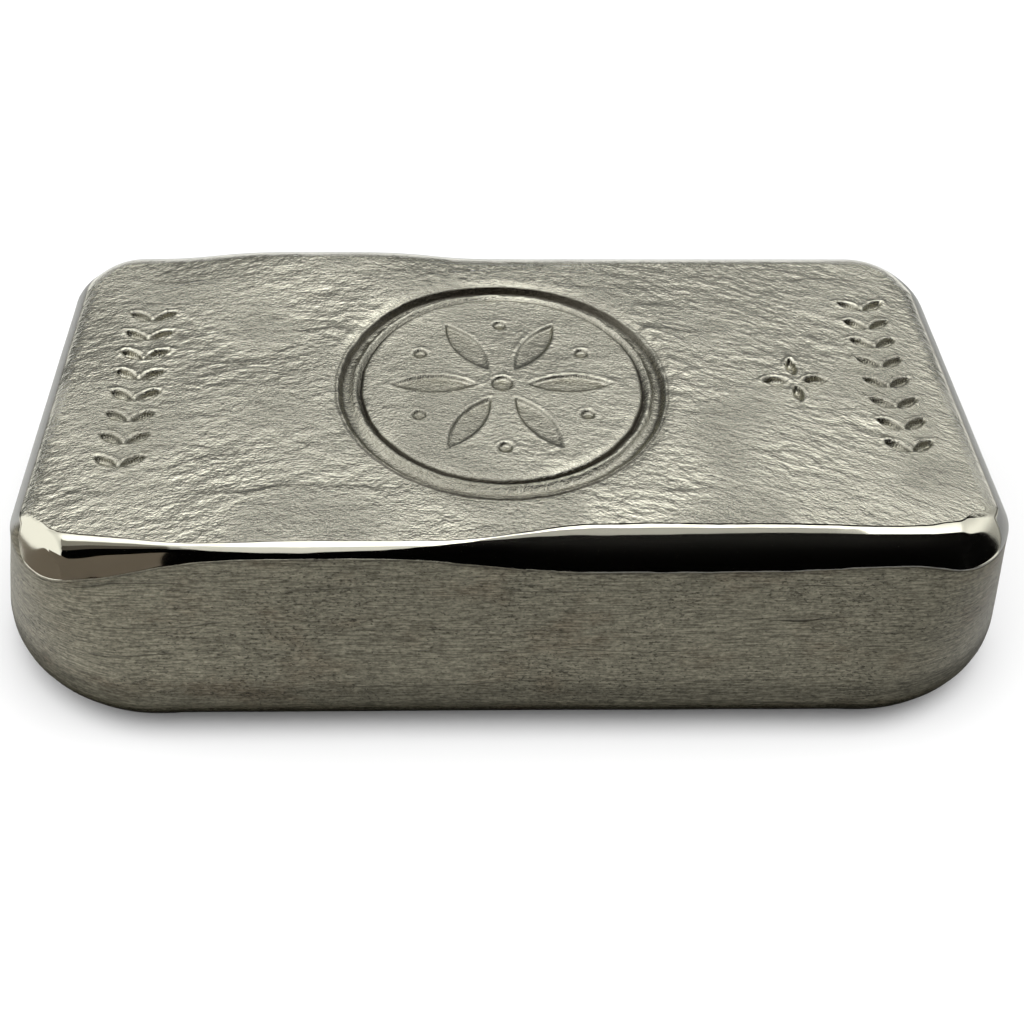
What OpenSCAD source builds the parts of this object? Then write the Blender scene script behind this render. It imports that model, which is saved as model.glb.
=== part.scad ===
// Small poured tin ingot, lying on its poured face with the struck face up.
// The frame's origin is the middle of the poured face, X runs along the bar and Z points up.

/* [Bar] */
// Length of the struck face, between the sharp corners of its edges
face_l = 32; // [26:0.1:60]
// Width of the struck face, between the sharp corners of its edges
face_w = 16; // [15:0.1:30]
// Height of the bar
bar_h = 7.3; // [5:0.05:15]
// Lean of the four walls, which lets the bar drop out of its mould
draft = 16; // [8:0.5:20]

/* [Edges] */
// Corner radius of the struck face's outline
face_corner_r = 1.8; // [1.4:0.1:5]
// Corner radius of the poured face's outline
base_corner_r = 7.2; // [3:0.1:8]
// Radius that the free surface of the melt took along the edge of the poured face
base_edge_r = 1.6; // [0.4:0.1:2]
// Radius of the shoulder round the struck face, where the melt drew back from the mould's corner
shoulder_r = 1.15; // [0.5:0.05:1.5]
// Radius of the shoulder along the stretch where the melt filled the mould's corner
filled_r = 0.38; // [0.2:0.02:1]
// Place of the filled stretch's middle along the bar
filled_x = -6.4; // [-12:0.1:12]
// Half the length of the filled stretch
filled_reach = 5.7; // [2:0.1:10]

/* [Struck ring] */
// Outside diameter of the ring
ring_d = 11.5; // [6:0.1:12]
// Place of the ring's middle along the bar
ring_x = -0.3; // [-4:0.1:4]
// Width of the ring's outer groove
outer_groove_w = 0.5; // [0.2:0.02:0.8]
// Depth of the ring's outer groove
outer_groove_depth = 0.22; // [0.05:0.01:0.5]
// Width of the plain bead between the two grooves
ring_bead_w = 0.16; // [0.1:0.02:1]
// Width of the ring's inner groove
inner_groove_w = 0.2; // [0.1:0.02:0.6]
// Depth of the ring's inner groove
inner_groove_depth = 0.15; // [0.04:0.01:0.4]

/* [Hidden] */
tin = [0.61, 0.6, 0.55];

// Facets along one corner, one long side, one short side, the base edge, the wall and the shoulder
corner_steps = 12;
long_steps = 28;
short_steps = 8;
base_steps = 6;
wall_steps = 2;
shoulder_steps = 6;

// How sharply the shoulder widens at the two ends of the filled stretch
filled_power = 6;
// Smallest corner radius that an edge leaves inside itself
least_corner_r = 0.05;
// Share of a groove's width that is flat at its bottom
groove_flat = 0.3;
// Height by which a cut stands clear of the struck face
cut_over = 0.5;
ring_facets = 128;

quarter = 90;
quarters = 4;

// Steps along the straight side that follows each corner, counted anticlockwise from +X +Y
side_steps = [long_steps, short_steps, long_steps, short_steps];

// Every station of the outline: its corner, its facing angle and its share of the way to the next corner
stations = [
    for (corner = [0 : quarters - 1]) each concat(
        [for (i = [0 : corner_steps]) [corner, quarter * (corner + i / corner_steps), 0]],
        [for (i = [1 : side_steps[corner] - 1]) [corner, quarter * (corner + 1), i / side_steps[corner]]]
    )
];
station_count = len(stations);

// Growth of the outline's half sides and of its corner radius for each millimetre down the wall
wall_growth = tan(draft);
corner_growth = (base_corner_r - face_corner_r) / bar_h;

// Centre of one corner's arc in the outline at a given depth below the struck face
function corner_middle(corner, depth) =
    let (inset = face_corner_r + corner_growth * depth)
    let (x = face_l / 2 + wall_growth * depth - inset)
    let (y = face_w / 2 + wall_growth * depth - inset)
    [sign(cos(quarter * corner + quarter / 2)) * x, sign(sin(quarter * corner + quarter / 2)) * y];

// Point of the bar at a station, a given height and a given distance inside the drafted wall
function bar_point(station, height, inset) =
    let (depth = bar_h - height)
    let (here = corner_middle(station[0], depth))
    let (next = corner_middle(station[0] + 1, depth))
    let (radius = max(face_corner_r + corner_growth * depth - inset, least_corner_r))
    let (middle = here + station[2] * (next - here))
    [middle.x + radius * cos(station[1]), middle.y + radius * sin(station[1]), height];

// Lean of the wall at a station, which eases round a corner as the corner's radius grows
function wall_lean(station) =
    let (along = abs(cos(station[1])), across = abs(sin(station[1])))
    atan(wall_growth * (along + across) - corner_growth * (along + across - 1));

// Shoulder radius at a place along the bar
function shoulder_at(x) =
    shoulder_r - (shoulder_r - filled_r) / (1 + pow(abs(x - filled_x) / filled_reach, filled_power));

// Upright section at a station, from the poured face to the struck face, as [height, inset] pairs:
// an arc that meets the base and the wall, the wall, and an arc that meets the wall and the top
function section(station) =
    let (lean = wall_lean(station))
    let (r = shoulder_at(bar_point(station, bar_h, 0).x))
    let (base_middle = base_edge_r * tan((quarter + lean) / 2))
    let (shoulder_middle = bar_h * tan(lean) + r * tan((quarter - lean) / 2))
    let (base_arc = [
        for (i = [0 : base_steps])
        let (facing = -quarter + (quarter + lean) * i / base_steps)
        [base_edge_r * (1 + sin(facing)), base_middle - base_edge_r * cos(facing)]
    ])
    let (shoulder_arc = [
        for (i = [0 : shoulder_steps])
        let (facing = lean + (quarter - lean) * i / shoulder_steps)
        [bar_h - r * (1 - sin(facing)), shoulder_middle - r * cos(facing)]
    ])
    let (wall_start = base_arc[base_steps], wall_end = shoulder_arc[0])
    let (wall = [for (i = [1 : wall_steps - 1]) wall_start + (wall_end - wall_start) * i / wall_steps])
    [for (place = concat(base_arc, wall, shoulder_arc)) [place[0], place[1] - place[0] * tan(lean)]];

// The poured bar, lofted through its stations' sections and closed by a flat base and a flat face
module poured_bar() {
    sections = [for (station = stations) section(station)];
    ring_count = len(sections[0]);
    skin = [
        for (ring = [0 : ring_count - 1], i = [0 : station_count - 1])
        bar_point(stations[i], sections[i][ring][0], sections[i][ring][1])
    ];
    base_middle = len(skin);
    face_middle = base_middle + 1;
    last_ring = (ring_count - 1) * station_count;
    walls = [
        for (ring = [0 : ring_count - 2], i = [0 : station_count - 1])
        let (low = ring * station_count, high = low + station_count, next = (i + 1) % station_count)
        each [[low + i, high + i, high + next], [low + i, high + next, low + next]]
    ];
    base = [for (i = [0 : station_count - 1]) [base_middle, i, (i + 1) % station_count]];
    face = [
        for (i = [0 : station_count - 1])
        [face_middle, last_ring + (i + 1) % station_count, last_ring + i]
    ];
    polyhedron(concat(skin, [[0, 0, 0], [0, 0, bar_h]]), concat(walls, base, face));
}

// Cutter for one round groove in the struck face, with sloping sides and a flat bottom
module groove(outer_r, width, depth) {
    side = width * (1 - groove_flat) / 2;
    rotate_extrude($fn = ring_facets)
    polygon([
        [outer_r, 0],
        [outer_r, cut_over],
        [outer_r - width, cut_over],
        [outer_r - width, 0],
        [outer_r - width + side, -depth],
        [outer_r - side, -depth]
    ]);
}

// The bar with the double ring struck in its face
module ingot() {
    inner_groove_r = ring_d / 2 - outer_groove_w - ring_bead_w;
    color(tin)
    difference() {
        poured_bar();
        translate([ring_x, 0, bar_h]) {
            groove(ring_d / 2, outer_groove_w, outer_groove_depth);
            groove(inner_groove_r, inner_groove_w, inner_groove_depth);
        }
    }
}

ingot();
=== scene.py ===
import math

import bpy
import numpy as np
from mathutils import Matrix, Vector, noise
from mathutils.geometry import delaunay_2d_cdt
from mathutils.kdtree import KDTree


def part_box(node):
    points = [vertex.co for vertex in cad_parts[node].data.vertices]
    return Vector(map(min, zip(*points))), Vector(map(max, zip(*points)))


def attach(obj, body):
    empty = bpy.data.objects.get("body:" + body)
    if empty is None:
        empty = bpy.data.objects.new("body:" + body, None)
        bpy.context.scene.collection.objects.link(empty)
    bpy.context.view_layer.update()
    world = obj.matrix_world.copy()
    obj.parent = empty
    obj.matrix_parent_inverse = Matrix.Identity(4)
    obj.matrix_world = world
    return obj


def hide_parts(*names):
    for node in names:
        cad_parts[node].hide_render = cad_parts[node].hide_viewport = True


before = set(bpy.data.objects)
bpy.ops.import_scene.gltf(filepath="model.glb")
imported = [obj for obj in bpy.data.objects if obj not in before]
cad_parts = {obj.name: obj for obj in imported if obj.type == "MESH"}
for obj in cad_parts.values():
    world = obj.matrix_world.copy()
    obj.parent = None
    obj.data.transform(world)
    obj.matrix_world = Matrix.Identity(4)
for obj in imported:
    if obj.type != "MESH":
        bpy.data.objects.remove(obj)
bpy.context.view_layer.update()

# Lengths are in millimetres and angles in degrees, unless a name says otherwise
MM = 0.001
QUARTER = math.pi / 2

# The bar: its outer sizes come from the frame, and its draft and radii are those of the solid
bar_low, bar_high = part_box("ingot")
bar_l, bar_w, bar_h = (bar_high - bar_low) / MM
DRAFT = math.radians(16)

# Corner radii of the face's outline, anticlockwise from +X +Y: the two far corners filled less sharply
FACE_CORNER_R = np.array((2.4, 2.1, 1.8, 1.8))
CORNERS = len(FACE_CORNER_R)
NEAR_CORNER_R = FACE_CORNER_R[2]
BASE_CORNER_R = 7.2
BASE_EDGE_R = 1.6

# The shoulder round the face: depth and width at the far side, and the angles at which it meets the face
# along the near side, at which it meets the wall, and which the corners add to that
FAR_SHOULDER = (0.46, 0.76)
FACE_CREASE = math.radians(9)
WALL_CREASE = math.radians(18)
CORNER_CREASE = math.radians(9)

# The shoulder along the near side and round its two corners, where the melt left the mould unevenly:
# place along X, depth and width. A corner takes up CORNER_SPAN more at each end
CORNER_SPAN = 3.0
NEAR_SHOULDER = np.array((
    (-17.2, 0.57, 0.74),
    (-16.5, 0.64, 0.82),
    (-15.9, 0.95, 0.91),
    (-15.2, 1.20, 0.88),
    (-14.2, 1.04, 0.80),
    (-13.3, 0.95, 0.67),
    (-12.3, 0.77, 0.54),
    (-11.2, 0.57, 0.38),
    (-10.2, 0.45, 0.30),
    (-9.2, 0.38, 0.30),
    (-7.2, 0.35, 0.37),
    (-5.2, 0.35, 0.36),
    (-3.1, 0.41, 0.35),
    (-2.1, 0.51, 0.37),
    (-1.1, 0.62, 0.48),
    (0.0, 0.73, 0.67),
    (1.0, 0.81, 0.88),
    (2.0, 0.86, 1.03),
    (3.2, 0.87, 1.07),
    (7.0, 0.87, 1.04),
    (9.0, 0.85, 1.02),
    (10.5, 0.78, 0.95),
    (12.1, 0.72, 0.89),
    (13.2, 0.73, 0.94),
    (14.2, 0.84, 1.10),
    (14.9, 0.93, 1.18),
    (15.6, 0.84, 1.19),
    (16.4, 0.68, 1.15),
    (17.2, 0.62, 0.86),
))

# How far along its section the bright shoulder reaches at the ends and at the far side
END_BRIGHT = 0.5

# Sines of the facing angle between which the shoulder turns into the near side's, and between which its
# bright part widens, and shares of the face's width between which the face counts as near
NEAR_TURN = (0.1, 0.95)
BRIGHT_TURN = (0.3, 0.75)
NEAR_TOP = (0.3, 0.45)

# Swelling of the face along its far edge: height, place along X, half length and how sharply it ends
# there, and shares of the face's width and of the bar's height over which it grows
SWELL_H = 0.34
SWELL_X = -7.0
SWELL_REACH = 4.5
SWELL_POWER = 4
SWELL_ACROSS = (0.1, 0.5)
SWELL_UP = (0.6, 1.0)

# Smallest corner radius that an edge leaves inside itself
LEAST_CORNER_R = 0.05

# Growth of the outline for each millimetre down the wall, and what that leaves for the struck face
wall_growth = math.tan(DRAFT)
corner_growth = (BASE_CORNER_R - FACE_CORNER_R) / bar_h
overhang = bar_h * wall_growth - BASE_EDGE_R * (math.tan((QUARTER + DRAFT) / 2) - 1)
face_l = bar_l - 2 * overhang
face_w = bar_w - 2 * overhang

# Small unevenness of a hand-poured bar: rise and widening for each millimetre along X
WEDGE = 0.0011
TAPER = 0.0004

# Soft waves of the cast surface, as height, size and seed: all over, on the wall, and on the shoulder and
# the face. The wall's own grow over a stretch of the band, all of them fade out towards the base, and a
# seed times SEED_SHIFT sets each noise apart
ALL_WAVE = (0.004, 2.4, 1)
WALL_WAVE = (0.03, 4.2, 2)
FINE_WAVE = (0.004, 0.9, 3)
WALL_WAVE_BAND = (0.8, 1.6)
WAVE_UP = (0.0, 1.2)
SEED_SHIFT = (7.3, 3.1, 5.7)

# The poured face sank as it set: distances from its edge over which it does, mean height and waves
SUNK_EDGE = (0.3, 5.0)
SUNK_H = 0.1
SUNK_WAVES = ((0.03, 3.5, 8), (0.012, 0.9, 9))

# Facets of the skin: round one corner, along the sides, and up the base edge, the wall and the shoulder,
# whose curve is first worked out in finer steps
CORNER_STEPS = 32
LONG_STEPS = 180
SHORT_STEPS = 80
BASE_STEPS = 9
WALL_STEPS = 16
SHOULDER_STEPS = 18
FINE_STEPS = 4

# Steps between points on the struck face, on the poured face and along what is struck
FACE_STEP = 0.135
BASE_STEP = 0.6
MARK_STEP = 0.09

# Least gaps between points of the ring, of the punch marks, of the flow lines and of the face's grid
RING_GAP = 0.018
MARK_GAP = 0.04
FLOW_GAP = 0.07
FACE_GAP = 0.6 * FACE_STEP

# Search for a curve by halving: number of halvings, range of the shoulder's power, and rays and least
# number of points round a mark
HALVINGS = 30
SHOULDER_POWERS = (0.2, 8.0)
RAYS = 360
LEAST_MARK_POINTS = 6

# Blender's triangulation: keep what lies inside the outline, and join points nearer than the tolerance
CDT_INSIDE = 1
CDT_TOLERANCE = 1e-7

# The struck double ring: its radius, its middle along X, its depth, half its width, and the waves by
# which it strays from its circles
RING_R = 5.75
RING_X = -0.3
RING_DEPTH = 0.2
RING_HALF_W = 0.4
RING_WAVES = ((0.025, 0.7, 10), (0.012, 0.3, 11))

# The ring's section, from the disc inside it outwards: radius, and height at the near side and the far
# side
RING_SECTION = np.array((
    (4.58, 0.012, 0.0),
    (4.7, 0.0, 0.01),
    (4.78, -0.02, 0.02),
    (4.84, -0.036, 0.015),
    (4.89, -0.07, 0.0),
    (4.91, -0.09, -0.03),
    (4.955, -0.18, -0.09),
    (4.98, -0.2, -0.1),
    (5.01, -0.2, -0.1),
    (5.08, -0.03, -0.02),
    (5.12, 0.0, 0.0),
    (5.17, 0.03, 0.045),
    (5.22, 0.0, 0.01),
    (5.26, -0.03, -0.05),
    (5.35, -0.15, -0.25),
    (5.55, -0.15, -0.25),
    (5.6, -0.14, -0.23),
    (5.63, -0.12, -0.19),
    (5.72, -0.01, -0.03),
    (5.75, 0.03, 0.0),
    (5.79, 0.06, 0.012),
    (5.82, 0.045, 0.02),
    (5.87, 0.005, 0.034),
    (5.9, 0.0, 0.042),
    (6.05, 0.0, 0.075),
    (6.2, 0.0, 0.09),
    (6.6, 0.0, 0.085),
    (8.2, 0.0, 0.0),
))

# Tarnish and painted shade in the ring, darkening its walls: radius, and share at the near side and the far
# side
RING_TARNISH_AND_SHADE = np.array((
    (4.87, 0.0, 0.0),
    (4.9, 0.9, 0.9),
    (4.99, 1.0, 1.0),
    (5.03, 0.2, 0.1),
    (5.49, 0.1, 0.1),
    (5.57, 0.5, 1.0),
    (5.73, 0.3, 1.0),
    (5.78, 0.0, 0.0),
    (5.81, 0.9, 0.0),
    (5.875, 0.9, 0.0),
    (5.9, 0.0, 0.0),
))

# The struck rosette inside the ring
PETALS = 6
PETAL_FROM = 0.85
PETAL_TO = 3.95
PETAL_W = 1.0
ROSETTE_PELLET_R = 0.42
BETWEEN_PELLET_R = 0.27
BETWEEN_PELLET_AT = 3.35

# The struck sprigs near the two ends: middle along X and Y, number of pairs of leaves and their pitch
SPRIGS = (
    (-13.0, -0.3, 8, 1.12),
    (13.45, 0.3, 8, 1.12),
)
LEAF_L = 1.05
LEAF_W = 0.4
LEAF_OUT = 0.5
LEAF_TURN = math.radians(32)

# The small struck flower beside the right sprig
FLOWER_AT = (10.15, 0.15)
FLOWER_PETALS = 4
FLOWER_FROM = 0.25
FLOWER_TO = 1.2
FLOWER_W = 0.42

# Depths of the punches, width of their walls, the lip that they raise round themselves, and the offsets
# of the rows of points round their edges
ROSETTE_DEPTH = 0.12
SPRIG_DEPTH = 0.24
PUNCH_WALL = 0.05
PUNCH_NEAR_WALL = 0.2
PUNCH_LIP = 0.25
PUNCH_LIP_AT = 0.08
PUNCH_LIP_W = 0.06
PUNCH_CURVES = (-0.16, -0.09, -0.05, -0.02, 0.0, 0.03, 0.06, 0.1, 0.16, 0.24)

# Shares of a punch's depth and of the painted shade on its wall at its near side, and the darkening of its
# floor
PUNCH_NEAR_DEPTH = 0.7
PUNCH_NEAR_SHADE = 0.2
PUNCH_FLOOR_DARK = 0.2

# Torn burrs round what is struck: mean, wave and range of their height, and the distances outside the
# ring over which a share of that becomes even
TORN_MEAN = 0.65
TORN_WAVE = (0.9, 0.35, 7)
TORN_RANGE = (0.1, 1.5)
EVEN_FROM = (0.05, 0.25)
EVEN_H = 0.9
EVEN_SHARE = 0.6

# Flow lines in the face: places across the bar, height of one step, half its width, its share inside the
# ring, and the offsets of the rows of points along it
FLOW_LINES = (6.2, 4.6, 2.9, 1.5, -1.6, -3.4, -5.3)
FLOW_STEP = 0.024
FLOW_W = 0.04
FLOW_IN_RING = 0.4
FLOW_CURVES = (-0.11, -0.05, 0.0, 0.05, 0.11)

# Bends of a flow line: height, and turn in radians for each millimetre along the bar and across it
FLOW_BENDS = ((0.16, 0.42, 1.7), (0.09, 1.15, 2.9), (0.05, 2.7, 4.1))

# How a flow line comes and goes: mean, wave, most, and how far apart in the noise the lines lie
FLOW_MEAN = 0.2
FLOW_WAVE = (2.4, 4.5, 4)
FLOW_MOST = 1.3
FLOW_APART = 9.0

# Streaks in the face, drawn out along arcs: how far, the arcs' bend and the waves, and how far from the
# face's edge they and the flow lines are full
STREAK_DRAW = 0.5
STREAK_BEND = 0.02
STREAK_WAVES = ((0.011, 0.45, 5), (0.008, 0.9, 6))
FULL_FROM_EDGE = 1.2


def smooth(value, low, high):
    """Ease from 0 at low to 1 at high."""
    share = np.clip((value - low) / (high - low), 0, 1)
    return share * share * (3 - 2 * share)


def between(share, first, last):
    """From first at a share of 0 to last at a share of 1."""
    return first + (last - first) * share


def on_plane(x, y):
    """Points with no height."""
    return np.column_stack([x, y, np.zeros(len(x))])


def ripple(points, height, size, seed):
    """Soft noise from about -height to height at each point, with bumps of about the given size."""
    shift = Vector([seed * part for part in SEED_SHIFT])
    return height * np.array([
        noise.noise(Vector(point) / size + shift, noise_basis="PERLIN_NEW") for point in points
    ])


def ripples(points, waves):
    """Several ripples together."""
    return sum(ripple(points, *wave) for wave in waves)


# The bar's skin

def outline_stations():
    """Corner number, facing angle and share of the way to the next corner, all round the bar."""
    rows = []
    for corner, steps in enumerate((LONG_STEPS, SHORT_STEPS, LONG_STEPS, SHORT_STEPS)):
        rows += [(corner, corner + i / CORNER_STEPS, 0.0) for i in range(CORNER_STEPS + 1)]
        rows += [(corner, corner + 1.0, i / steps) for i in range(1, steps)]
    corner, quarters, share = np.array(rows).T
    return corner.astype(int), quarters * QUARTER, share


def corner_radius(corner, depth):
    """Radius of a corner's arc in the outline at a depth below the struck face."""
    return FACE_CORNER_R[corner % CORNERS] + corner_growth[corner % CORNERS] * depth


def corner_middle(corner, depth):
    """Centre of a corner's arc in the outline at a depth below the struck face."""
    radius = corner_radius(corner, depth)
    side_x = np.sign(np.cos(corner * QUARTER + QUARTER / 2))
    side_y = np.sign(np.sin(corner * QUARTER + QUARTER / 2))
    half_l = face_l / 2 + wall_growth * depth - radius
    half_w = face_w / 2 + wall_growth * depth - radius
    return np.stack([side_x * half_l, side_y * half_w], axis=-1)


def skin_point(stations, height, inset):
    """Points at a height and a distance inside the drafted wall, one for each station."""
    corner, facing, share = stations
    depth = bar_h - height
    here = corner_middle(corner, depth)
    there = corner_middle(corner + 1, depth)
    radius = (1 - share) * corner_radius(corner, depth) + share * corner_radius(corner + 1, depth)
    radius = np.maximum(radius - inset, LEAST_CORNER_R)
    flat = here + share[:, None] * (there - here)
    flat = flat + radius[:, None] * np.stack([np.cos(facing), np.sin(facing)], axis=-1)
    return np.column_stack([flat, height])


def near_share(facing):
    """1 along the near side, 0 along the ends and the far side, easing from one to the other at corners."""
    return smooth(-np.sin(facing), *NEAR_TURN)


def curve(at, places, values):
    """A smooth curve through values at rising places."""
    slopes = np.gradient(values, places)
    i = np.clip(np.searchsorted(places, at) - 1, 0, len(places) - 2)
    step = places[i + 1] - places[i]
    share = np.clip((at - places[i]) / step, 0, 1)
    rest = 1 - share
    first = rest * rest * ((1 + 2 * share) * values[i] + share * step * slopes[i])
    second = share * share * ((1 + 2 * rest) * values[i + 1] - rest * step * slopes[i + 1])
    return first + second


def shoulder_size(stations):
    """Depth and width of the shoulder at each station."""
    corner, facing, share = stations
    x = skin_point(stations, np.full(len(facing), bar_h), np.zeros(len(facing)))[:, 0]
    straight = face_l / 2 - NEAR_CORNER_R
    around = np.arccos(np.clip(np.abs(np.cos(facing)), 0, 1)) / QUARTER
    bent = np.sign(x) * (straight + CORNER_SPAN * (1 - around))
    on_long_side = (share > 0) & (corner % 2 == 0)
    place = np.where(on_long_side, x, bent)
    far = smooth(np.sin(facing), 0.0, 1.0)
    places, depths, widths = NEAR_SHOULDER.T
    return [
        (1 - far) * curve(place, places, near_size) + far * far_size
        for near_size, far_size in zip((depths, widths), FAR_SHOULDER)
    ]


def far_swell(points):
    """Height of the swelling along the face's far edge at each point."""
    away = (points[:, 0] - SWELL_X) / SWELL_REACH
    return SWELL_H * np.exp(-away ** SWELL_POWER) * smooth(points[:, 1] / face_w, *SWELL_ACROSS)


def shoulder_curve(first, last, depth, run):
    """Heights, insets and tilts along the shoulder's section, from the wall to the face. The tilt goes from
    first to last, and it does so later where the shoulder is deep, so that the curve spans depth and run."""
    share = np.linspace(0, 1, SHOULDER_STEPS * FINE_STEPS + 1)[:, None]
    low, high = [np.full(len(first), power) for power in SHOULDER_POWERS]
    for _ in range(HALVINGS):
        power = (low + high) / 2
        tilt = first + (last - first) * share ** power
        steep = np.cos(tilt).mean(axis=0) * run > np.sin(tilt).mean(axis=0) * depth
        low, high = np.where(steep, low, power), np.where(steep, power, high)
    middle = (tilt[1:] + tilt[:-1]) / 2
    rise, inset = np.cumsum(np.cos(middle), axis=0), np.cumsum(np.sin(middle), axis=0)
    rise, inset = np.pad(rise, ((1, 0), (0, 0))), np.pad(inset, ((1, 0), (0, 0)))
    every = slice(None, None, FINE_STEPS)
    return (depth * rise / rise[-1])[every], (run * inset / inset[-1])[every], tilt[every]


def skin_rings(stations):
    """Rings of points from the base to the face, their normals, and their band: 0 where the shoulder
    meets the face, 1 where it meets the wall, and then the distance down the wall added to 1."""
    corner, facing, _ = stations
    spread = np.abs(np.cos(facing)) + np.abs(np.sin(facing))
    lean = np.arctan(wall_growth * spread - corner_growth[corner] * (spread - 1))
    depth, shoulder_w = shoulder_size(stations)
    base_middle = BASE_EDGE_R * np.tan((QUARTER + lean) / 2)
    first = lean + WALL_CREASE + CORNER_CREASE * np.sin(2 * facing) ** 2
    last = QUARTER - FACE_CREASE * near_share(facing)
    contact = bar_h - depth
    contact_inset = contact * np.tan(lean)
    run = shoulder_w + depth * np.tan(lean)
    rows = []
    for i in range(BASE_STEPS + 1):
        tilt = -QUARTER + (QUARTER + lean) * i / BASE_STEPS
        height = BASE_EDGE_R * (1 + np.sin(tilt))
        rows.append((height, base_middle - BASE_EDGE_R * np.cos(tilt), tilt, 1 + contact - height))
    base_height, base_inset = rows[-1][:2]
    for i in range(1, WALL_STEPS):
        share = i / WALL_STEPS
        height = base_height + (contact - base_height) * share
        inset = base_inset + (contact_inset - base_inset) * share
        rows.append((height, inset, lean, 1 + contact - height))
    shoulder = shoulder_curve(first, last, depth, run)
    for i, (rise, inset, tilt) in enumerate(zip(*shoulder)):
        band = np.full(len(facing), 1 - i / SHOULDER_STEPS)
        rows.append((contact + rise, contact_inset + inset, tilt, band))
    points, normals, bands = [], [], []
    for height, inset, tilt, band in rows:
        points.append(skin_point(stations, height, inset - height * np.tan(lean)))
        out = np.cos(tilt)
        normals.append(np.column_stack([out * np.cos(facing), out * np.sin(facing), np.sin(tilt)]))
        bands.append(band)
    return np.array(points), np.array(normals), np.array(bands)


# What is struck in the face

def disc(radius):
    """Signed distance to a disc."""
    return lambda x, y: np.hypot(x, y) - radius


def petal(length, width):
    """Signed distance to a pointed petal, made by two equal arcs, that is longest along its own X."""
    radius = (length * length + width * width) / (4 * width)
    drop = radius - width / 2
    return lambda x, y: np.hypot(x, np.abs(y) + drop) - radius


def petal_mark(x, y, turn, out, length, width, depth):
    """A petal at a distance out from a place, pointing away from it."""
    reach = abs(math.sin(turn)) * length / 2 + abs(math.cos(turn)) * width / 2
    return x + out * math.cos(turn), y + out * math.sin(turn), turn, reach, depth, petal(length, width)


def struck_marks():
    """Every punch mark: its middle, turn, half reach across the bar, depth and signed distance."""
    marks = [(RING_X, 0.0, 0.0, ROSETTE_PELLET_R, ROSETTE_DEPTH, disc(ROSETTE_PELLET_R))]
    out, length = (PETAL_TO + PETAL_FROM) / 2, PETAL_TO - PETAL_FROM
    for i in range(PETALS):
        turn = 2 * math.pi * i / PETALS
        marks.append(petal_mark(RING_X, 0.0, turn, out, length, PETAL_W, ROSETTE_DEPTH))
        turn += math.pi / PETALS
        x, y = RING_X + BETWEEN_PELLET_AT * math.cos(turn), BETWEEN_PELLET_AT * math.sin(turn)
        marks.append((x, y, 0.0, BETWEEN_PELLET_R, ROSETTE_DEPTH, disc(BETWEEN_PELLET_R)))
    for x, middle, count, pitch in SPRIGS:
        for i in range(count):
            y = middle + pitch * (i - (count - 1) / 2)
            for turn in (LEAF_TURN, math.pi - LEAF_TURN):
                marks.append(petal_mark(x, y, turn, LEAF_OUT, LEAF_L, LEAF_W, SPRIG_DEPTH))
    out, length = (FLOWER_TO + FLOWER_FROM) / 2, FLOWER_TO - FLOWER_FROM
    for i in range(FLOWER_PETALS):
        turn = 2 * math.pi * i / FLOWER_PETALS
        marks.append(petal_mark(*FLOWER_AT, turn, out, length, FLOWER_W, SPRIG_DEPTH))
    return marks


def mark_distance(mark, x, y):
    """Signed distance of points to a mark."""
    middle_x, middle_y, turn, _, _, distance = mark
    dx, dy = x - middle_x, y - middle_y
    return distance(dx * math.cos(turn) + dy * math.sin(turn), dy * math.cos(turn) - dx * math.sin(turn))


def mark_curve(mark, offset):
    """Points of the curve at a distance outside a mark's edge, found by halving along rays."""
    middle_x, middle_y = mark[:2]
    rays = np.linspace(0, 2 * math.pi, RAYS, endpoint=False)
    near, far = np.zeros(RAYS), np.full(RAYS, PETAL_TO)
    for _ in range(HALVINGS):
        half = (near + far) / 2
        x, y = middle_x + half * np.cos(rays), middle_y + half * np.sin(rays)
        inside = mark_distance(mark, x, y) < offset
        near, far = np.where(inside, half, near), np.where(inside, far, half)
    loop = np.column_stack([middle_x + near * np.cos(rays), middle_y + near * np.sin(rays)])
    closed = np.r_[loop, loop[:1]]
    length = np.r_[0, np.cumsum(np.hypot(*np.diff(closed, axis=0).T))]
    count = max(int(length[-1] / MARK_STEP), LEAST_MARK_POINTS)
    at = np.linspace(0, length[-1], count, endpoint=False)
    return np.column_stack([np.interp(at, length, side) for side in closed.T])


def ring_value(table, away, around):
    """A value of the ring's tables, at a distance and an angle round its middle."""
    far = 0.5 + 0.5 * np.sin(around)
    radii, at_near, at_far = table.T
    return (1 - far) * np.interp(away, radii, at_near) + far * np.interp(away, radii, at_far)


def ring_waver(x, y):
    """How far the struck ring strays inwards from its circles."""
    return ripples(on_plane(x, y), RING_WAVES)


def flow_line(y, x):
    """Place of a flow line across the bar, at places along it."""
    return y + sum(bend * np.sin(along * x + across * y) for bend, along, across in FLOW_BENDS)


def flow_relief(x, y, calm):
    """Height of the flow lines, each a small step that comes and goes, where the face is calm."""
    height = np.zeros(len(x))
    for line in FLOW_LINES:
        fading = FLOW_MEAN + ripple(on_plane(x, np.full(len(x), FLOW_APART * line)), *FLOW_WAVE)
        step = calm * np.clip(fading, 0, FLOW_MOST) * FLOW_STEP
        height += step * (y / face_w - np.tanh((y - flow_line(line, x)) / FLOW_W) / 2)
    return height


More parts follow.
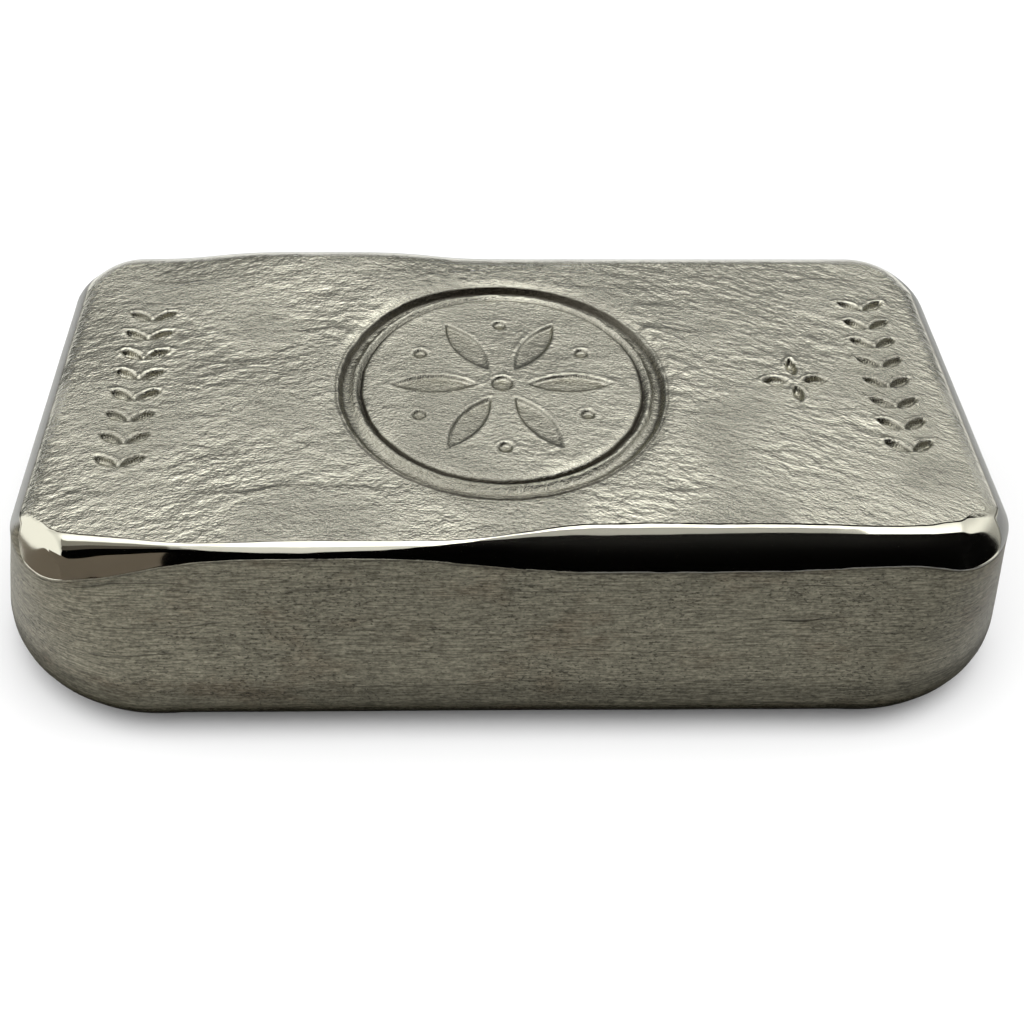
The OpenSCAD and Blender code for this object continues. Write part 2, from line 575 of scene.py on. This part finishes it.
def face_relief(points, edge):
    """Height of the struck face above its plane, and how dark each point is painted from 0 to 1, with
    tarnish and painted shade on the walls of what is struck.
    """
    x, y = points.T
    torn = np.clip(TORN_MEAN + ripple(on_plane(x, y), *TORN_WAVE), *TORN_RANGE)
    away = np.hypot(x - RING_X, y) + ring_waver(x, y)
    around = np.arctan2(y, x - RING_X)
    ring = ring_value(RING_SECTION, away, around)
    even = EVEN_SHARE * smooth(away - RING_R, *EVEN_FROM)
    height = np.where(ring > 0, ring * between(even, torn, EVEN_H), ring)
    # Tarnish and painted shade on the ring's walls
    tarnish_and_shade = ring_value(RING_TARNISH_AND_SHADE, away, around)
    struck = np.clip(-ring / RING_DEPTH, 0, 1)
    for mark in struck_marks():
        _, middle_y, _, reach, depth, _ = mark
        distance = mark_distance(mark, x, y)
        far = 0.5 + 0.5 * np.clip((y - middle_y) / reach, -1, 1)
        floor = smooth(-distance / between(far, PUNCH_NEAR_WALL, PUNCH_WALL), 0, 1)
        lip = np.exp(-((distance - PUNCH_LIP_AT) / PUNCH_LIP_W) ** 2) * (distance > 0)
        height += depth * (PUNCH_LIP * far * torn * lip - between(far, PUNCH_NEAR_DEPTH, 1) * floor)
        # Painted shade halfway down each punch's wall, full on the far wall, which faces the camera, and
        # less on the near wall
        painted_wall_shade = 4 * floor * (1 - floor)
        tarnish_and_shade = np.maximum(tarnish_and_shade, painted_wall_shade * between(far, PUNCH_NEAR_SHADE, 1))
        struck = np.maximum(struck, floor)
    # Darker floors in all that is struck
    tarnish_and_shade = np.maximum(tarnish_and_shade, PUNCH_FLOOR_DARK * struck)
    full = smooth(edge, 0, FULL_FROM_EDGE) * (1 - struck)
    calm = full * smooth(np.abs(away - RING_R + RING_HALF_W), RING_HALF_W, 2 * RING_HALF_W)
    calm *= np.where(away > RING_R, 1.0, FLOW_IN_RING)
    streaks = ripples(on_plane(STREAK_DRAW * x, y + STREAK_BEND * x * x), STREAK_WAVES)
    height += flow_relief(x, y, calm) + full * streaks
    return height + far_swell(points), tarnish_and_shade


def inside_outline(points, outline):
    """Which points lie inside a closed outline."""
    x, y = points.T
    result = np.zeros(len(points), bool)
    for (ax, ay), (bx, by) in zip(outline, np.roll(outline, -1, axis=0)):
        if ay != by:
            crosses = (ay > y) != (by > y)
            result ^= crosses & (x < ax + (y - ay) * (bx - ax) / (by - ay))
    return result


def nearest(points, others):
    """Distance from each point to the nearest of the others."""
    tree = KDTree(len(others))
    for i, other in enumerate(others):
        tree.insert((*other, 0.0), i)
    tree.balance()
    return np.array([tree.find((*point, 0.0))[2] for point in points])


def grid_points(outline, step):
    """Points of a triangular grid over the outline's box."""
    low, high = outline.min(axis=0), outline.max(axis=0)
    rows = np.arange(low[1], high[1], step * math.sqrt(3) / 2)
    columns = np.arange(low[0], high[0], step)
    x, y = np.meshgrid(columns, rows)
    x = x + step / 2 * (np.arange(len(rows)) % 2)[:, None]
    return np.column_stack([x.ravel(), y.ravel()])


def face_points(outline):
    """Points inside the struck face, laid along what is struck in it and then on a grid."""
    around = np.linspace(0, 2 * math.pi, int(2 * math.pi * RING_R / MARK_STEP), endpoint=False)
    ring = []
    for radius in RING_SECTION[:, 0]:
        wavy = radius - ring_waver(RING_X + radius * np.cos(around), radius * np.sin(around))
        ring.append(np.column_stack([RING_X + wavy * np.cos(around), wavy * np.sin(around)]))
    marks = [mark_curve(mark, offset) for mark in struck_marks() for offset in PUNCH_CURVES]
    along = np.arange(-face_l / 2, face_l / 2, FACE_STEP)
    flow = [
        np.column_stack([along, flow_line(line, along) + offset])
        for line in FLOW_LINES for offset in FLOW_CURVES
    ]
    layers = (
        (np.concatenate(ring), RING_GAP),
        (np.concatenate(marks), MARK_GAP),
        (np.concatenate(flow), FLOW_GAP),
        (grid_points(outline, FACE_STEP), FACE_GAP),
    )
    kept = outline
    for points, gap in layers:
        points = points[inside_outline(points, outline)]
        kept = np.concatenate([kept, points[nearest(points, kept) > gap]])
    return kept[len(outline):]


def triangulate(outline, points):
    """Triangles over an outline and the points inside it, numbered outline first."""
    corners = np.concatenate([outline, points])
    spots = [tuple(corner) for corner in corners]
    border = [range(len(outline))]
    _, _, faces, sources, _, _ = delaunay_2d_cdt(spots, [], border, CDT_INSIDE, CDT_TOLERANCE, True)
    faces = np.array([[sources[i][0] for i in face] for face in faces])
    along_edge = np.flatnonzero((faces < len(outline)).all(axis=1))
    kept = np.ones(len(faces), bool)
    kept[along_edge] = inside_outline(corners[faces[along_edge]].mean(axis=1), outline)
    return faces[kept].tolist()


def base_relief(points, edge):
    """Height of the poured face above the plane that it rests on: it sank a little as it set."""
    return smooth(edge, *SUNK_EDGE) * (SUNK_H + ripples(on_plane(*points.T), SUNK_WAVES))


def cast_skin(rings, normals, band):
    """The skin's points with the soft waves of the cast surface and the swelling of the far edge."""
    skin = rings.reshape(-1, 3)
    on_wall = smooth(band, *WALL_WAVE_BAND)
    waves = ripple(skin, *ALL_WAVE) + on_wall * ripple(skin, *WALL_WAVE)
    waves += (1 - on_wall) * ripple(skin, *FINE_WAVE)
    waves *= smooth(skin[:, 2], *WAVE_UP)
    skin = skin + normals.reshape(-1, 3) * waves[:, None]
    skin[:, 2] += far_swell(skin) * smooth(skin[:, 2] / bar_h, *SWELL_UP)
    return skin


def ingot_mesh():
    """The bar as one closed mesh, with the values that its material reads."""
    stations = outline_stations()
    rings, normals, bands = skin_rings(stations)
    ring_count, width = bands.shape
    band = bands.ravel()
    skin = cast_skin(rings, normals, band)

    face_outline, base_outline = rings[-1][:, :2], rings[0][:, :2]
    top = face_points(face_outline)
    top_edge = nearest(top, face_outline)
    relief, tarnish_and_shade = face_relief(top, top_edge)
    solid = np.column_stack([top, np.full(len(top), bar_h)])
    relief = relief + ripples(solid, (ALL_WAVE, FINE_WAVE))
    bottom = grid_points(base_outline, BASE_STEP)
    bottom = bottom[inside_outline(bottom, base_outline)]
    bottom = bottom[nearest(bottom, base_outline) > BASE_STEP / 2]
    bottom_edge = nearest(bottom, base_outline)

    points = np.concatenate([
        skin,
        np.column_stack([top, bar_h + relief]),
        np.column_stack([bottom, base_relief(bottom, bottom_edge)]),
    ])
    points[:, 2] *= 1 + WEDGE * points[:, 0]
    points[:, 1] *= 1 + TAPER * points[:, 0]

    faces = []
    for ring in range(ring_count - 1):
        low, high = ring * width, (ring + 1) * width
        faces += [(low + i, low + (i + 1) % width, high + (i + 1) % width, high + i) for i in range(width)]
    last, top_start, bottom_start = (ring_count - 1) * width, len(skin), len(skin) + len(top)
    for triangle in triangulate(face_outline, top):
        faces.append([last + i if i < width else top_start + i - width for i in triangle])
    for triangle in triangulate(base_outline, bottom):
        faces.append([i if i < width else bottom_start + i - width for i in reversed(triangle)])

    mesh = bpy.data.meshes.new("ingot_body")
    mesh.from_pydata((points * MM).tolist(), [], faces)
    mesh.shade_smooth()
    near = near_share(stations[1])
    bright = between(smooth(-np.sin(stations[1]), *BRIGHT_TURN), END_BRIGHT, 1)
    near_top = smooth(-top[:, 1] / face_w, *NEAR_TOP)
    values = {
        "band": np.concatenate([band, -top_edge, np.full(len(bottom), band.max())]),
        "tarnish_and_shade": np.concatenate([np.zeros(len(skin)), tarnish_and_shade, np.zeros(len(bottom))]),
        "near": np.concatenate([np.tile(near, ring_count), near_top, np.zeros(len(bottom))]),
        "bright": np.concatenate([np.tile(bright, ring_count), np.ones(len(top) + len(bottom))]),
    }
    for name, value in values.items():
        attribute = mesh.attributes.new(name, "FLOAT", "POINT")
        attribute.data.foreach_set("value", value.astype(np.float32))
    return mesh


# Materials

class Nodes:
    """Adds nodes to a tree, with each input set to a value or linked to a socket."""

    def __init__(self, tree):
        self.tree = tree
        tree.nodes.clear()

    def add(self, kind, inputs, **settings):
        node = self.tree.nodes.new(kind)
        for name, value in settings.items():
            setattr(node, name, value)
        for name, value in inputs.items():
            if isinstance(value, bpy.types.NodeSocket):
                self.tree.links.new(value, node.inputs[name])
            else:
                node.inputs[name].default_value = value
        return node

    def math(self, operation, first, second=0.0):
        return self.add("ShaderNodeMath", {0: first, 1: second}, operation=operation).outputs[0]

    def times(self, first, *others):
        for other in others:
            first = self.math("MULTIPLY", first, other)
        return first

    def plus(self, first, second):
        return self.math("ADD", first, second)

    def minus(self, first, second):
        return self.math("SUBTRACT", first, second)

    def most(self, first, *others):
        for other in others:
            first = self.math("MAXIMUM", first, other)
        return first

    def attribute(self, name):
        return self.add("ShaderNodeAttribute", {}, attribute_name=name).outputs["Fac"]

    def noise(self, vector, scale, detail, roughness):
        inputs = {"Vector": vector, "Scale": scale, "Detail": detail, "Roughness": roughness}
        return self.add("ShaderNodeTexNoise", inputs).outputs["Fac"]

    def ease(self, value, low, high, start=0.0, end=1.0):
        """A smooth step from start at low to end at high."""
        inputs = {"Value": value, "From Min": low, "From Max": high, "To Min": start, "To Max": end}
        return self.add("ShaderNodeMapRange", inputs, interpolation_type="SMOOTHSTEP").outputs[0]

    def mix(self, factor, first, second):
        """A mix of two numbers."""
        inputs = {"Factor": factor, 2: first, 3: second}
        return self.add("ShaderNodeMix", inputs).outputs[0]

    def blend(self, factor, first, second, kind="MIX"):
        """A mix of two colours."""
        inputs = {"Factor": factor, 6: first, 7: second}
        return self.add("ShaderNodeMix", inputs, data_type="RGBA", blend_type=kind).outputs[2]

    def vector(self, x, y, z):
        return self.add("ShaderNodeCombineXYZ", {0: x, 1: y, 2: z}).outputs[0]

    def grey(self, value):
        """A colour with three equal parts."""
        return self.vector(value, value, value)


# Colours of the face and its rough patches, of tarnish and painted shade, of the wall and its stains, of
# pits and the painted shade under the shoulder's lip, and of the painted highlight in the pale strip under
# the shoulder
TIN = (0.62, 0.604, 0.5, 1)
ROUGH_TIN = (0.5, 0.487, 0.403, 1)
DARK_TARNISH_AND_SHADE = (0.04, 0.035, 0.026, 1)
WALL_TIN = (0.155, 0.146, 0.11, 1)
WALL_STAIN = (0.135, 0.119, 0.087, 1)
PIT_AND_LIP_SHADE = (0.03, 0.028, 0.022, 1)
PALE_HIGHLIGHT_TIN = (0.36, 0.36, 0.34, 1)

# Noises of the surface: bumps for each millimetre, octaves, and the share of each finer octave
EDGE_NOISE = (1.3, 3, 0.5)
PATCH_NOISE = (0.25, 1, 0.5)
LUMP_NOISE = (2.6, 3, 0.55)
WRINKLE_NOISE = (7.0, 2, 0.55)
SPECK_NOISE = (15.0, 3, 0.65)
DRAG_NOISE = (20.0, 4, 0.65)
MOTTLE_NOISE = (12.0, 4, 0.7)
PIT_NOISE = (13.0, 2, 0.6)
PIT_PATCH_NOISE = (0.4, 2, 0.5)
SEAM_NOISE = (0.8, 2, 0.5)
SEAM_GAP_NOISE = (1.7, 2, 0.5)
STAIN_NOISE = (0.7, 4, 0.6)
NOISE_MEAN = 0.5

# Below, a pair says where a change starts and ends, and two more numbers say its values there

# Places on the band where the face ends, at the ends and along the near side, and where the wall starts,
# and how far these wander
EDGE_WANDER = 0.06
FACE_FROM = -0.02
FACE_TO = (0.5, 0.03)
WALL_FROM = (-0.025, 0.0)

# Grain of the face: how far it is drawn out along the bar, middle and bend of its arcs, its patches, and
# heights on smooth and rough patches, or inside the ring and outside it
GRAIN_DRAW = 0.7
GRAIN_X = -5.0
GRAIN_BEND = 0.014
PATCH = (0.35, 0.7)
WRINKLE_H = (0.024, 0.036)
SPECK_H = (0.019, 0.056)
LUMP_H = (RING_R, RING_R + RING_HALF_W, 0.03, 0.07)

# Marks of the wall: how far they are drawn out along the bar, where they show, their height and their
# darkness
DRAG_DRAW = 0.07
DRAG_H = 0.012
MOTTLE_DRAW = 0.5
PIT_PATCH = (0.35, 0.68, 0.0, 0.09)
PIT_EDGE = (0.65, 0.74)
SEAM_DRAW = 0.15
SEAM_PITCH = 1.1
SEAM_BEND = 1.6
SEAM_EDGE = (0.006, 0.024, 1.0, 0.0)
SEAM_GAP = (0.5, 0.6)
SCAR_DEPTH = 0.02
SCAR_DARK = 0.7

# The lip under the shoulder, a dent with a dark line of painted shade, as a place on the band and its width,
# and the pale strip of painted highlight over it, which shows at the ends and on the right
LIP_AT = 1.04
LIP_EDGE = (0.0, 0.035, 0.9, 0.0)
PALE_EDGE = (0.99, 1.015, 1.0, 0.0)
PALE_END = (0.0, 0.25)
PALE_RIGHT = (1.0, 3.0)

# Shades of the wall: stains, drag lines, mottling, painted shade in two steps darkening it towards the base,
# and painted light at the left end and painted shade at the right end
STAIN = (0.5, 0.72)
DRAG_SHADE = (0.3, 0.7, 0.6, 1.4)
MOTTLE_SHADE = (0.3, 0.7, 0.64, 1.36)
LOW_SHADE = (0.55, 1.7, 0.06, 0.6)
HIGH_SHADE = (1.9, 2.7, 0.0, 0.4)
LEFT_SHADE = (-14.0, -5.0, 1.2, 1.0)
RIGHT_SHADE = (10.0, 15.0, 1.0, 0.8)

# Painted shade in dark lines along both sides of the shoulder, and how much the metal mirrors at a grazing
# angle, by height
RIM_EDGE = (0.0, 0.03, 0.7, 0.0)
CREASE_IN = 0.05
CREASE_EDGE = (0.0, 0.04, 0.8, 0.0)
GRAZE = (0.5, 3.0, 0.1, 1.0)

# Roughness on smooth and rough patches, of the shoulder at the ends and along the near side, added at the
# near corners, and of the wall
FACE_ROUGHNESS = (0.14, 0.13)
SHOULDER_ROUGHNESS = (0.12, 0.045)
CORNER_ROUGHNESS = 0.45
WALL_ROUGHNESS = 0.5


def tin_material():
    """Cast tin: satin grain on the face, a bright smooth shoulder and a dull, drag-marked wall."""
    material = bpy.data.materials.new("cast_tin")
    material.use_nodes = True
    nodes = Nodes(material.node_tree)
    coordinates = nodes.add("ShaderNodeTexCoord", {}).outputs["Object"]
    scaled = nodes.add("ShaderNodeVectorMath", {0: coordinates, "Scale": 1 / MM}, operation="SCALE")
    place = scaled.outputs[0]
    x, y, z = nodes.add("ShaderNodeSeparateXYZ", {0: place}).outputs
    band, tarnish_and_shade, bright, near = [
        nodes.attribute(name) for name in ("band", "tarnish_and_shade", "bright", "near")
    ]

    def drawn_out(share):
        """Places for a noise that is drawn out along the wall."""
        return nodes.vector(nodes.times(x, share), nodes.times(y, share), z)

    # Where the face, the shoulder and the wall end, a little uneven
    wander = nodes.minus(nodes.noise(place, *EDGE_NOISE), NOISE_MEAN)
    edge = nodes.plus(band, nodes.times(wander, EDGE_WANDER))
    face = nodes.ease(edge, FACE_FROM, nodes.mix(near, *FACE_TO), 1.0, 0.0)
    past_bright = nodes.minus(edge, bright)
    wall = nodes.ease(past_bright, *WALL_FROM)

    # Grain of the face: lumps and fine wrinkles drawn out along arcs, and rougher patches of sharp grain
    along = nodes.minus(x, GRAIN_X)
    arc = nodes.plus(y, nodes.times(along, along, GRAIN_BEND))
    grain_place = nodes.vector(nodes.times(x, GRAIN_DRAW), arc, z)
    patch = nodes.ease(nodes.noise(place, *PATCH_NOISE), *PATCH)
    wrinkle = nodes.times(nodes.noise(grain_place, *WRINKLE_NOISE), nodes.mix(patch, *WRINKLE_H))
    speck = nodes.times(nodes.noise(grain_place, *SPECK_NOISE), nodes.mix(patch, *SPECK_H))
    ring_middle = {0: place, 1: (RING_X, 0.0, bar_h)}
    from_middle = nodes.add("ShaderNodeVectorMath", ring_middle, operation="DISTANCE").outputs["Value"]
    lump = nodes.times(nodes.noise(grain_place, *LUMP_NOISE), nodes.ease(from_middle, *LUMP_H))
    grain = nodes.times(nodes.plus(nodes.plus(wrinkle, speck), lump), face)

    # Drag lines of the wall, its pits, its long fine seams, and the lip under the shoulder with its line of
    # painted shade
    drag = nodes.noise(drawn_out(DRAG_DRAW), *DRAG_NOISE)
    mottle_place = drawn_out(MOTTLE_DRAW)
    mottle = nodes.noise(mottle_place, *MOTTLE_NOISE)
    pit_patch = nodes.ease(nodes.noise(place, *PIT_PATCH_NOISE), *PIT_PATCH)
    pit = nodes.ease(nodes.plus(nodes.noise(mottle_place, *PIT_NOISE), pit_patch), *PIT_EDGE)
    seam_place = drawn_out(SEAM_DRAW)
    bent = nodes.plus(z, nodes.times(nodes.noise(seam_place, *SEAM_NOISE), SEAM_BEND))
    seam = nodes.ease(nodes.math("PINGPONG", bent, SEAM_PITCH / 2), *SEAM_EDGE)
    seam = nodes.times(seam, nodes.ease(nodes.noise(seam_place, *SEAM_GAP_NOISE), *SEAM_GAP))
    lip = nodes.ease(nodes.math("ABSOLUTE", nodes.minus(edge, LIP_AT)), *LIP_EDGE)
    # Painted highlight: a pale strip just above where the shoulder meets the wall, at the ends and along the
    # near side's right part
    right_or_end = nodes.mix(nodes.ease(near, *PALE_END), 1.0, nodes.ease(x, *PALE_RIGHT))
    painted_highlight = nodes.times(nodes.ease(edge, *PALE_EDGE), right_or_end)
    scar_and_lip_shade = nodes.times(nodes.most(pit, seam, lip), wall, nodes.minus(1.0, painted_highlight))
    rough_wall = nodes.minus(nodes.times(drag, DRAG_H), nodes.times(scar_and_lip_shade, SCAR_DEPTH))
    height = nodes.plus(grain, nodes.times(rough_wall, wall))
    bump = nodes.add("ShaderNodeBump", {"Height": height, "Distance": MM, "Strength": 1.0})

    # Colour of the wall
    stain = nodes.ease(nodes.noise(mottle_place, *STAIN_NOISE), *STAIN)
    wall_colour = nodes.blend(stain, WALL_TIN, WALL_STAIN)
    marks = nodes.times(nodes.ease(drag, *DRAG_SHADE), nodes.ease(mottle, *MOTTLE_SHADE))
    # Painted shade darker towards the base, painted light towards the left end and painted shade towards the
    # right end
    rise = nodes.plus(nodes.ease(z, *LOW_SHADE), nodes.ease(z, *HIGH_SHADE))
    painted_end_light_and_shade = nodes.times(nodes.ease(x, *LEFT_SHADE), nodes.ease(x, *RIGHT_SHADE))
    shade = nodes.times(marks, nodes.times(rise, painted_end_light_and_shade))
    wall_colour = nodes.blend(1.0, wall_colour, nodes.grey(shade), "MULTIPLY")
    # Painted highlight in the pale strip
    wall_colour = nodes.blend(painted_highlight, wall_colour, PALE_HIGHLIGHT_TIN)

    # Colour of the face and the shoulder, joined with the wall's
    # Painted shade: a dark line along the face's edge at the near side, and one along the crease at the ends
    rim_shade = nodes.times(nodes.ease(nodes.math("ABSOLUTE", edge), *RIM_EDGE), near)
    from_crease = nodes.math("ABSOLUTE", nodes.plus(past_bright, CREASE_IN))
    crease_shade = nodes.times(nodes.ease(from_crease, *CREASE_EDGE), nodes.minus(1.0, near))
    colour = nodes.blend(nodes.times(patch, face), TIN, ROUGH_TIN)
    # Tarnish and painted shade in what is struck, and the painted shade lines along the shoulder, in one
    # dark colour
    colour = nodes.blend(nodes.most(tarnish_and_shade, nodes.most(rim_shade, crease_shade)), colour, DARK_TARNISH_AND_SHADE)
    colour = nodes.blend(wall, colour, wall_colour)
    # Pits and seams darkened, and painted shade in the line under the shoulder's lip
    colour = nodes.blend(nodes.times(scar_and_lip_shade, SCAR_DARK), colour, PIT_AND_LIP_SHADE)

    # Gloss
    satin = nodes.mix(patch, *FACE_ROUGHNESS)
    corner = nodes.times(near, nodes.minus(1.0, near))
    shoulder = nodes.plus(nodes.mix(near, *SHOULDER_ROUGHNESS), nodes.times(corner, CORNER_ROUGHNESS))
    roughness = nodes.mix(wall, nodes.mix(face, shoulder, satin), WALL_ROUGHNESS)

    tin = nodes.add("ShaderNodeBsdfPrincipled", {
        "Base Color": colour,
        "Metallic": 1.0,
        "Roughness": roughness,
        "Specular Tint": nodes.grey(nodes.ease(z, *GRAZE)),
        "Normal": bump.outputs[0],
    })
    nodes.add("ShaderNodeOutputMaterial", {"Surface": tin.outputs[0]})
    return material


def plain_material(name, colour):
    """A dull, even finish."""
    material = bpy.data.materials.new(name)
    material.use_nodes = True
    nodes = Nodes(material.node_tree)
    shader = nodes.add("ShaderNodeBsdfDiffuse", {"Color": colour})
    nodes.add("ShaderNodeOutputMaterial", {"Surface": shader.outputs[0]})
    return material


# The studio

# The floor's colour and its side in metres, and the colour behind the bar
FLOOR = (0.95, 0.95, 0.95, 1)
FLOOR_SIZE = 3.0
BACKGROUND = (1, 1, 1, 1)

# Brightness of the sky by the sine of its height, as seen by the metal and the floor
SKY = (
    (0.0, (0.2, 0.21, 0.22, 1)),
    (0.2, (0.17, 0.175, 0.175, 1)),
    (0.45, (0.26, 0.26, 0.26, 1)),
    (0.6, (0.28, 0.28, 0.28, 1)),
    (0.66, (0.35, 0.35, 0.35, 1)),
    (0.7, (0.51, 0.51, 0.51, 1)),
    (0.8, (0.96, 0.96, 0.96, 1)),
    (0.88, (1.7, 1.7, 1.7, 1)),
    (0.95, (3.4, 3.4, 3.4, 1)),
    (1.0, (4.0, 4.0, 4.0, 1)),
)

# The sky's share from its left to its right, and past that at its right end, by the sideways part of the
# direction
SKY_ACROSS = (-0.35, 0.35, 0.69, 1.07)
SKY_END = (0.42, 0.6, 1.0, 0.55)

# The two side lights in that sky: brightness, where they start and are full, where the right one fades,
# both by the sideways part of the direction, and where they end, by its backward part
SIDE_LIGHT = (1.4, 1.4, 1.4, 1)
SIDE_FROM = (0.4, 0.66)
SIDE_FADE = (0.64, 0.9, 1.0, 0.3)
SIDE_END = (0.48, 0.6, 1.0, 0.0)

# Cards round the bar, which only reflections see: colour, turn of the card round the bar, and places
# along the card with the angles over the bar at which it starts and ends there
FLAG_R = 250.0
FLAG_STEPS = 24
BLACK = (0.001, 0.001, 0.001, 1)
DARK_BROWN = (0.1, 0.09, 0.08, 1)
BROWN = (0.19, 0.16, 0.135, 1)
GREY = (0.3, 0.29, 0.27, 1)
PALE_GREY = (0.5, 0.5, 0.5, 1)
WHITE = (0.95, 0.95, 0.95, 1)
FLAGS = {
    "black_flag": (BLACK, 0.0, (
        (-88.0, 1.0, 42.0),
        (-60.0, 1.0, 38.0),
        (-40.0, 1.0, 40.0),
        (-28.0, 1.0, 46.0),
        (-15.0, 1.0, 50.0),
        (-5.0, 1.0, 62.0),
        (20.0, 1.0, 86.0),
        (60.0, 1.0, 92.0),
        (170.0, 1.0, 92.0),
        (260.0, 1.0, 88.0),
        (360.0, 1.0, 86.0),
        (500.0, 1.0, 80.0),
    )),
    "ceiling_flag": (PALE_GREY, 0.0, (
        (20.0, 85.0, 88.0),
        (26.0, 86.0, 104.0),
        (60.0, 91.0, 104.0),
        (76.0, 91.0, 104.0),
    )),
    "right_flag": (BLACK, 90.0, ((-250.0, 1.0, 36.0), (-24.0, 1.0, 36.0))),
    "brown_flag": (BROWN, 0.0, ((-520.0, 1.0, 30.0), (-88.0, 1.0, 30.0))),
    "left_flag": (BROWN, -90.0, ((0.0, 1.0, 11.0), (250.0, 1.0, 11.0))),
    "white_flag": (WHITE, 0.0, (
        (-80.0, 48.0, 52.0),
        (-60.0, 38.0, 72.0),
        (-40.0, 40.0, 72.0),
        (-28.0, 46.0, 72.0),
        (-15.0, 50.0, 72.0),
        (-5.0, 62.0, 72.0),
    )),
    "lens_flag": (BLACK, 0.0, ((-190.0, 30.0, 33.0), (-150.0, 30.0, 45.0), (-88.0, 30.0, 46.0))),
    "shade_flag": (DARK_BROWN, 0.0, ((-160.0, 45.0, 50.0), (-130.0, 45.0, 58.0), (-88.0, 46.0, 56.0))),
    "grey_flag": (GREY, 0.0, ((-150.0, 52.0, 60.0), (-130.0, 58.0, 82.0), (-88.0, 56.0, 66.0))),
}


def add_object(name, mesh, material):
    """A new object in the scene, with its material."""
    mesh.materials.append(material)
    thing = bpy.data.objects.new(name, mesh)
    bpy.context.scene.collection.objects.link(thing)
    return thing


def floor():
    """The plain pale floor."""
    half = FLOOR_SIZE / 2
    mesh = bpy.data.meshes.new("floor")
    corners = [(-half, -half, 0), (half, -half, 0), (half, half, 0), (-half, half, 0)]
    mesh.from_pydata(corners, [], [(0, 1, 2, 3)])
    return add_object("floor", mesh, plain_material("pale_floor", FLOOR))


def flag(name, colour, turn, places):
    """A card bent over one side of the bar."""
    rows = FLAG_STEPS + 1
    points = [
        (x * MM, -FLAG_R * MM * math.cos(rise), FLAG_R * MM * math.sin(rise))
        for x, low, high in places for rise in np.radians(np.linspace(low, high, rows))
    ]
    corners = [column * rows + i for column in range(len(places) - 1) for i in range(FLAG_STEPS)]
    mesh = bpy.data.meshes.new(name)
    mesh.from_pydata(points, [], [(i, i + rows, i + rows + 1, i + 1) for i in corners])
    card = add_object(name, mesh, plain_material(name, colour))
    card.rotation_euler[2] = math.radians(turn)
    card.visible_camera = False
    card.visible_diffuse = False
    card.visible_transmission = False
    card.visible_shadow = False
    return card


def sky():
    """Soft light that grows towards a bright ceiling, and plain white behind the bar."""
    world = bpy.data.worlds.new("studio")
    world.use_nodes = True
    bpy.context.scene.world = world
    nodes = Nodes(world.node_tree)
    direction = nodes.add("ShaderNodeTexCoord", {}).outputs["Generated"]
    sideways, backward, height = nodes.add("ShaderNodeSeparateXYZ", {0: direction}).outputs
    ramp = nodes.add("ShaderNodeValToRGB", {"Fac": height})
    stops = ramp.color_ramp.elements
    for at, _ in SKY[1:-1]:
        stops.new(at)
    for stop, (_, colour) in zip(stops, SKY):
        stop.color = colour
    share = nodes.times(nodes.ease(sideways, *SKY_ACROSS), nodes.ease(sideways, *SKY_END))
    colour = nodes.blend(1.0, ramp.outputs[0], nodes.grey(share), "MULTIPLY")
    side = nodes.ease(nodes.math("ABSOLUTE", sideways), *SIDE_FROM)
    side = nodes.times(side, nodes.ease(backward, *SIDE_END), nodes.ease(sideways, *SIDE_FADE))
    colour = nodes.blend(side, colour, SIDE_LIGHT, "LIGHTEN")
    soft = nodes.add("ShaderNodeBackground", {"Color": colour})
    white = nodes.add("ShaderNodeBackground", {"Color": BACKGROUND})
    camera_ray = nodes.add("ShaderNodeLightPath", {}).outputs["Is Camera Ray"]
    mixed = nodes.add("ShaderNodeMixShader", {0: camera_ray, 1: soft.outputs[0], 2: white.outputs[0]})
    nodes.add("ShaderNodeOutputWorld", {"Surface": mixed.outputs[0]})


# The camera at the photograph's view: where it stands round the bar, its roll, its distance and its lens
CAMERA_TARGET = (0.12, -2.09, 3.0)
CAMERA_TURN = math.radians(-4.27)
CAMERA_HEIGHT = math.radians(44.86)
CAMERA_ROLL = math.radians(2.97)
CAMERA_DISTANCE = 50.23
FOCAL_PIXELS = 1382.3
IMAGE_PIXELS = 1024
SENSOR = 36.0


def camera():
    """The camera, aimed at the bar."""
    data = bpy.data.cameras.new("camera")
    data.sensor_width = SENSOR
    data.lens = FOCAL_PIXELS / IMAGE_PIXELS * SENSOR
    data.clip_start = MM
    thing = bpy.data.objects.new("camera", data)
    back = Vector((
        math.sin(CAMERA_TURN) * math.cos(CAMERA_HEIGHT),
        -math.cos(CAMERA_TURN) * math.cos(CAMERA_HEIGHT),
        math.sin(CAMERA_HEIGHT),
    ))
    right = Vector((math.cos(CAMERA_TURN), math.sin(CAMERA_TURN), 0))
    turn = Matrix((right, back.cross(right), back)).transposed() @ Matrix.Rotation(CAMERA_ROLL, 3, "Z")
    place = (Vector(CAMERA_TARGET) + back * CAMERA_DISTANCE) * MM
    thing.matrix_world = Matrix.Translation(place) @ turn.to_4x4()
    bpy.context.scene.collection.objects.link(thing)
    bpy.context.scene.camera = thing


bpy.context.scene.view_settings.view_transform = "Standard"
camera()
sky()
floor()
[flag(name, *values) for name, values in FLAGS.items()]

body = add_object("ingot_body", ingot_mesh(), tin_material())
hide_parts("ingot")
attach(body, "root")
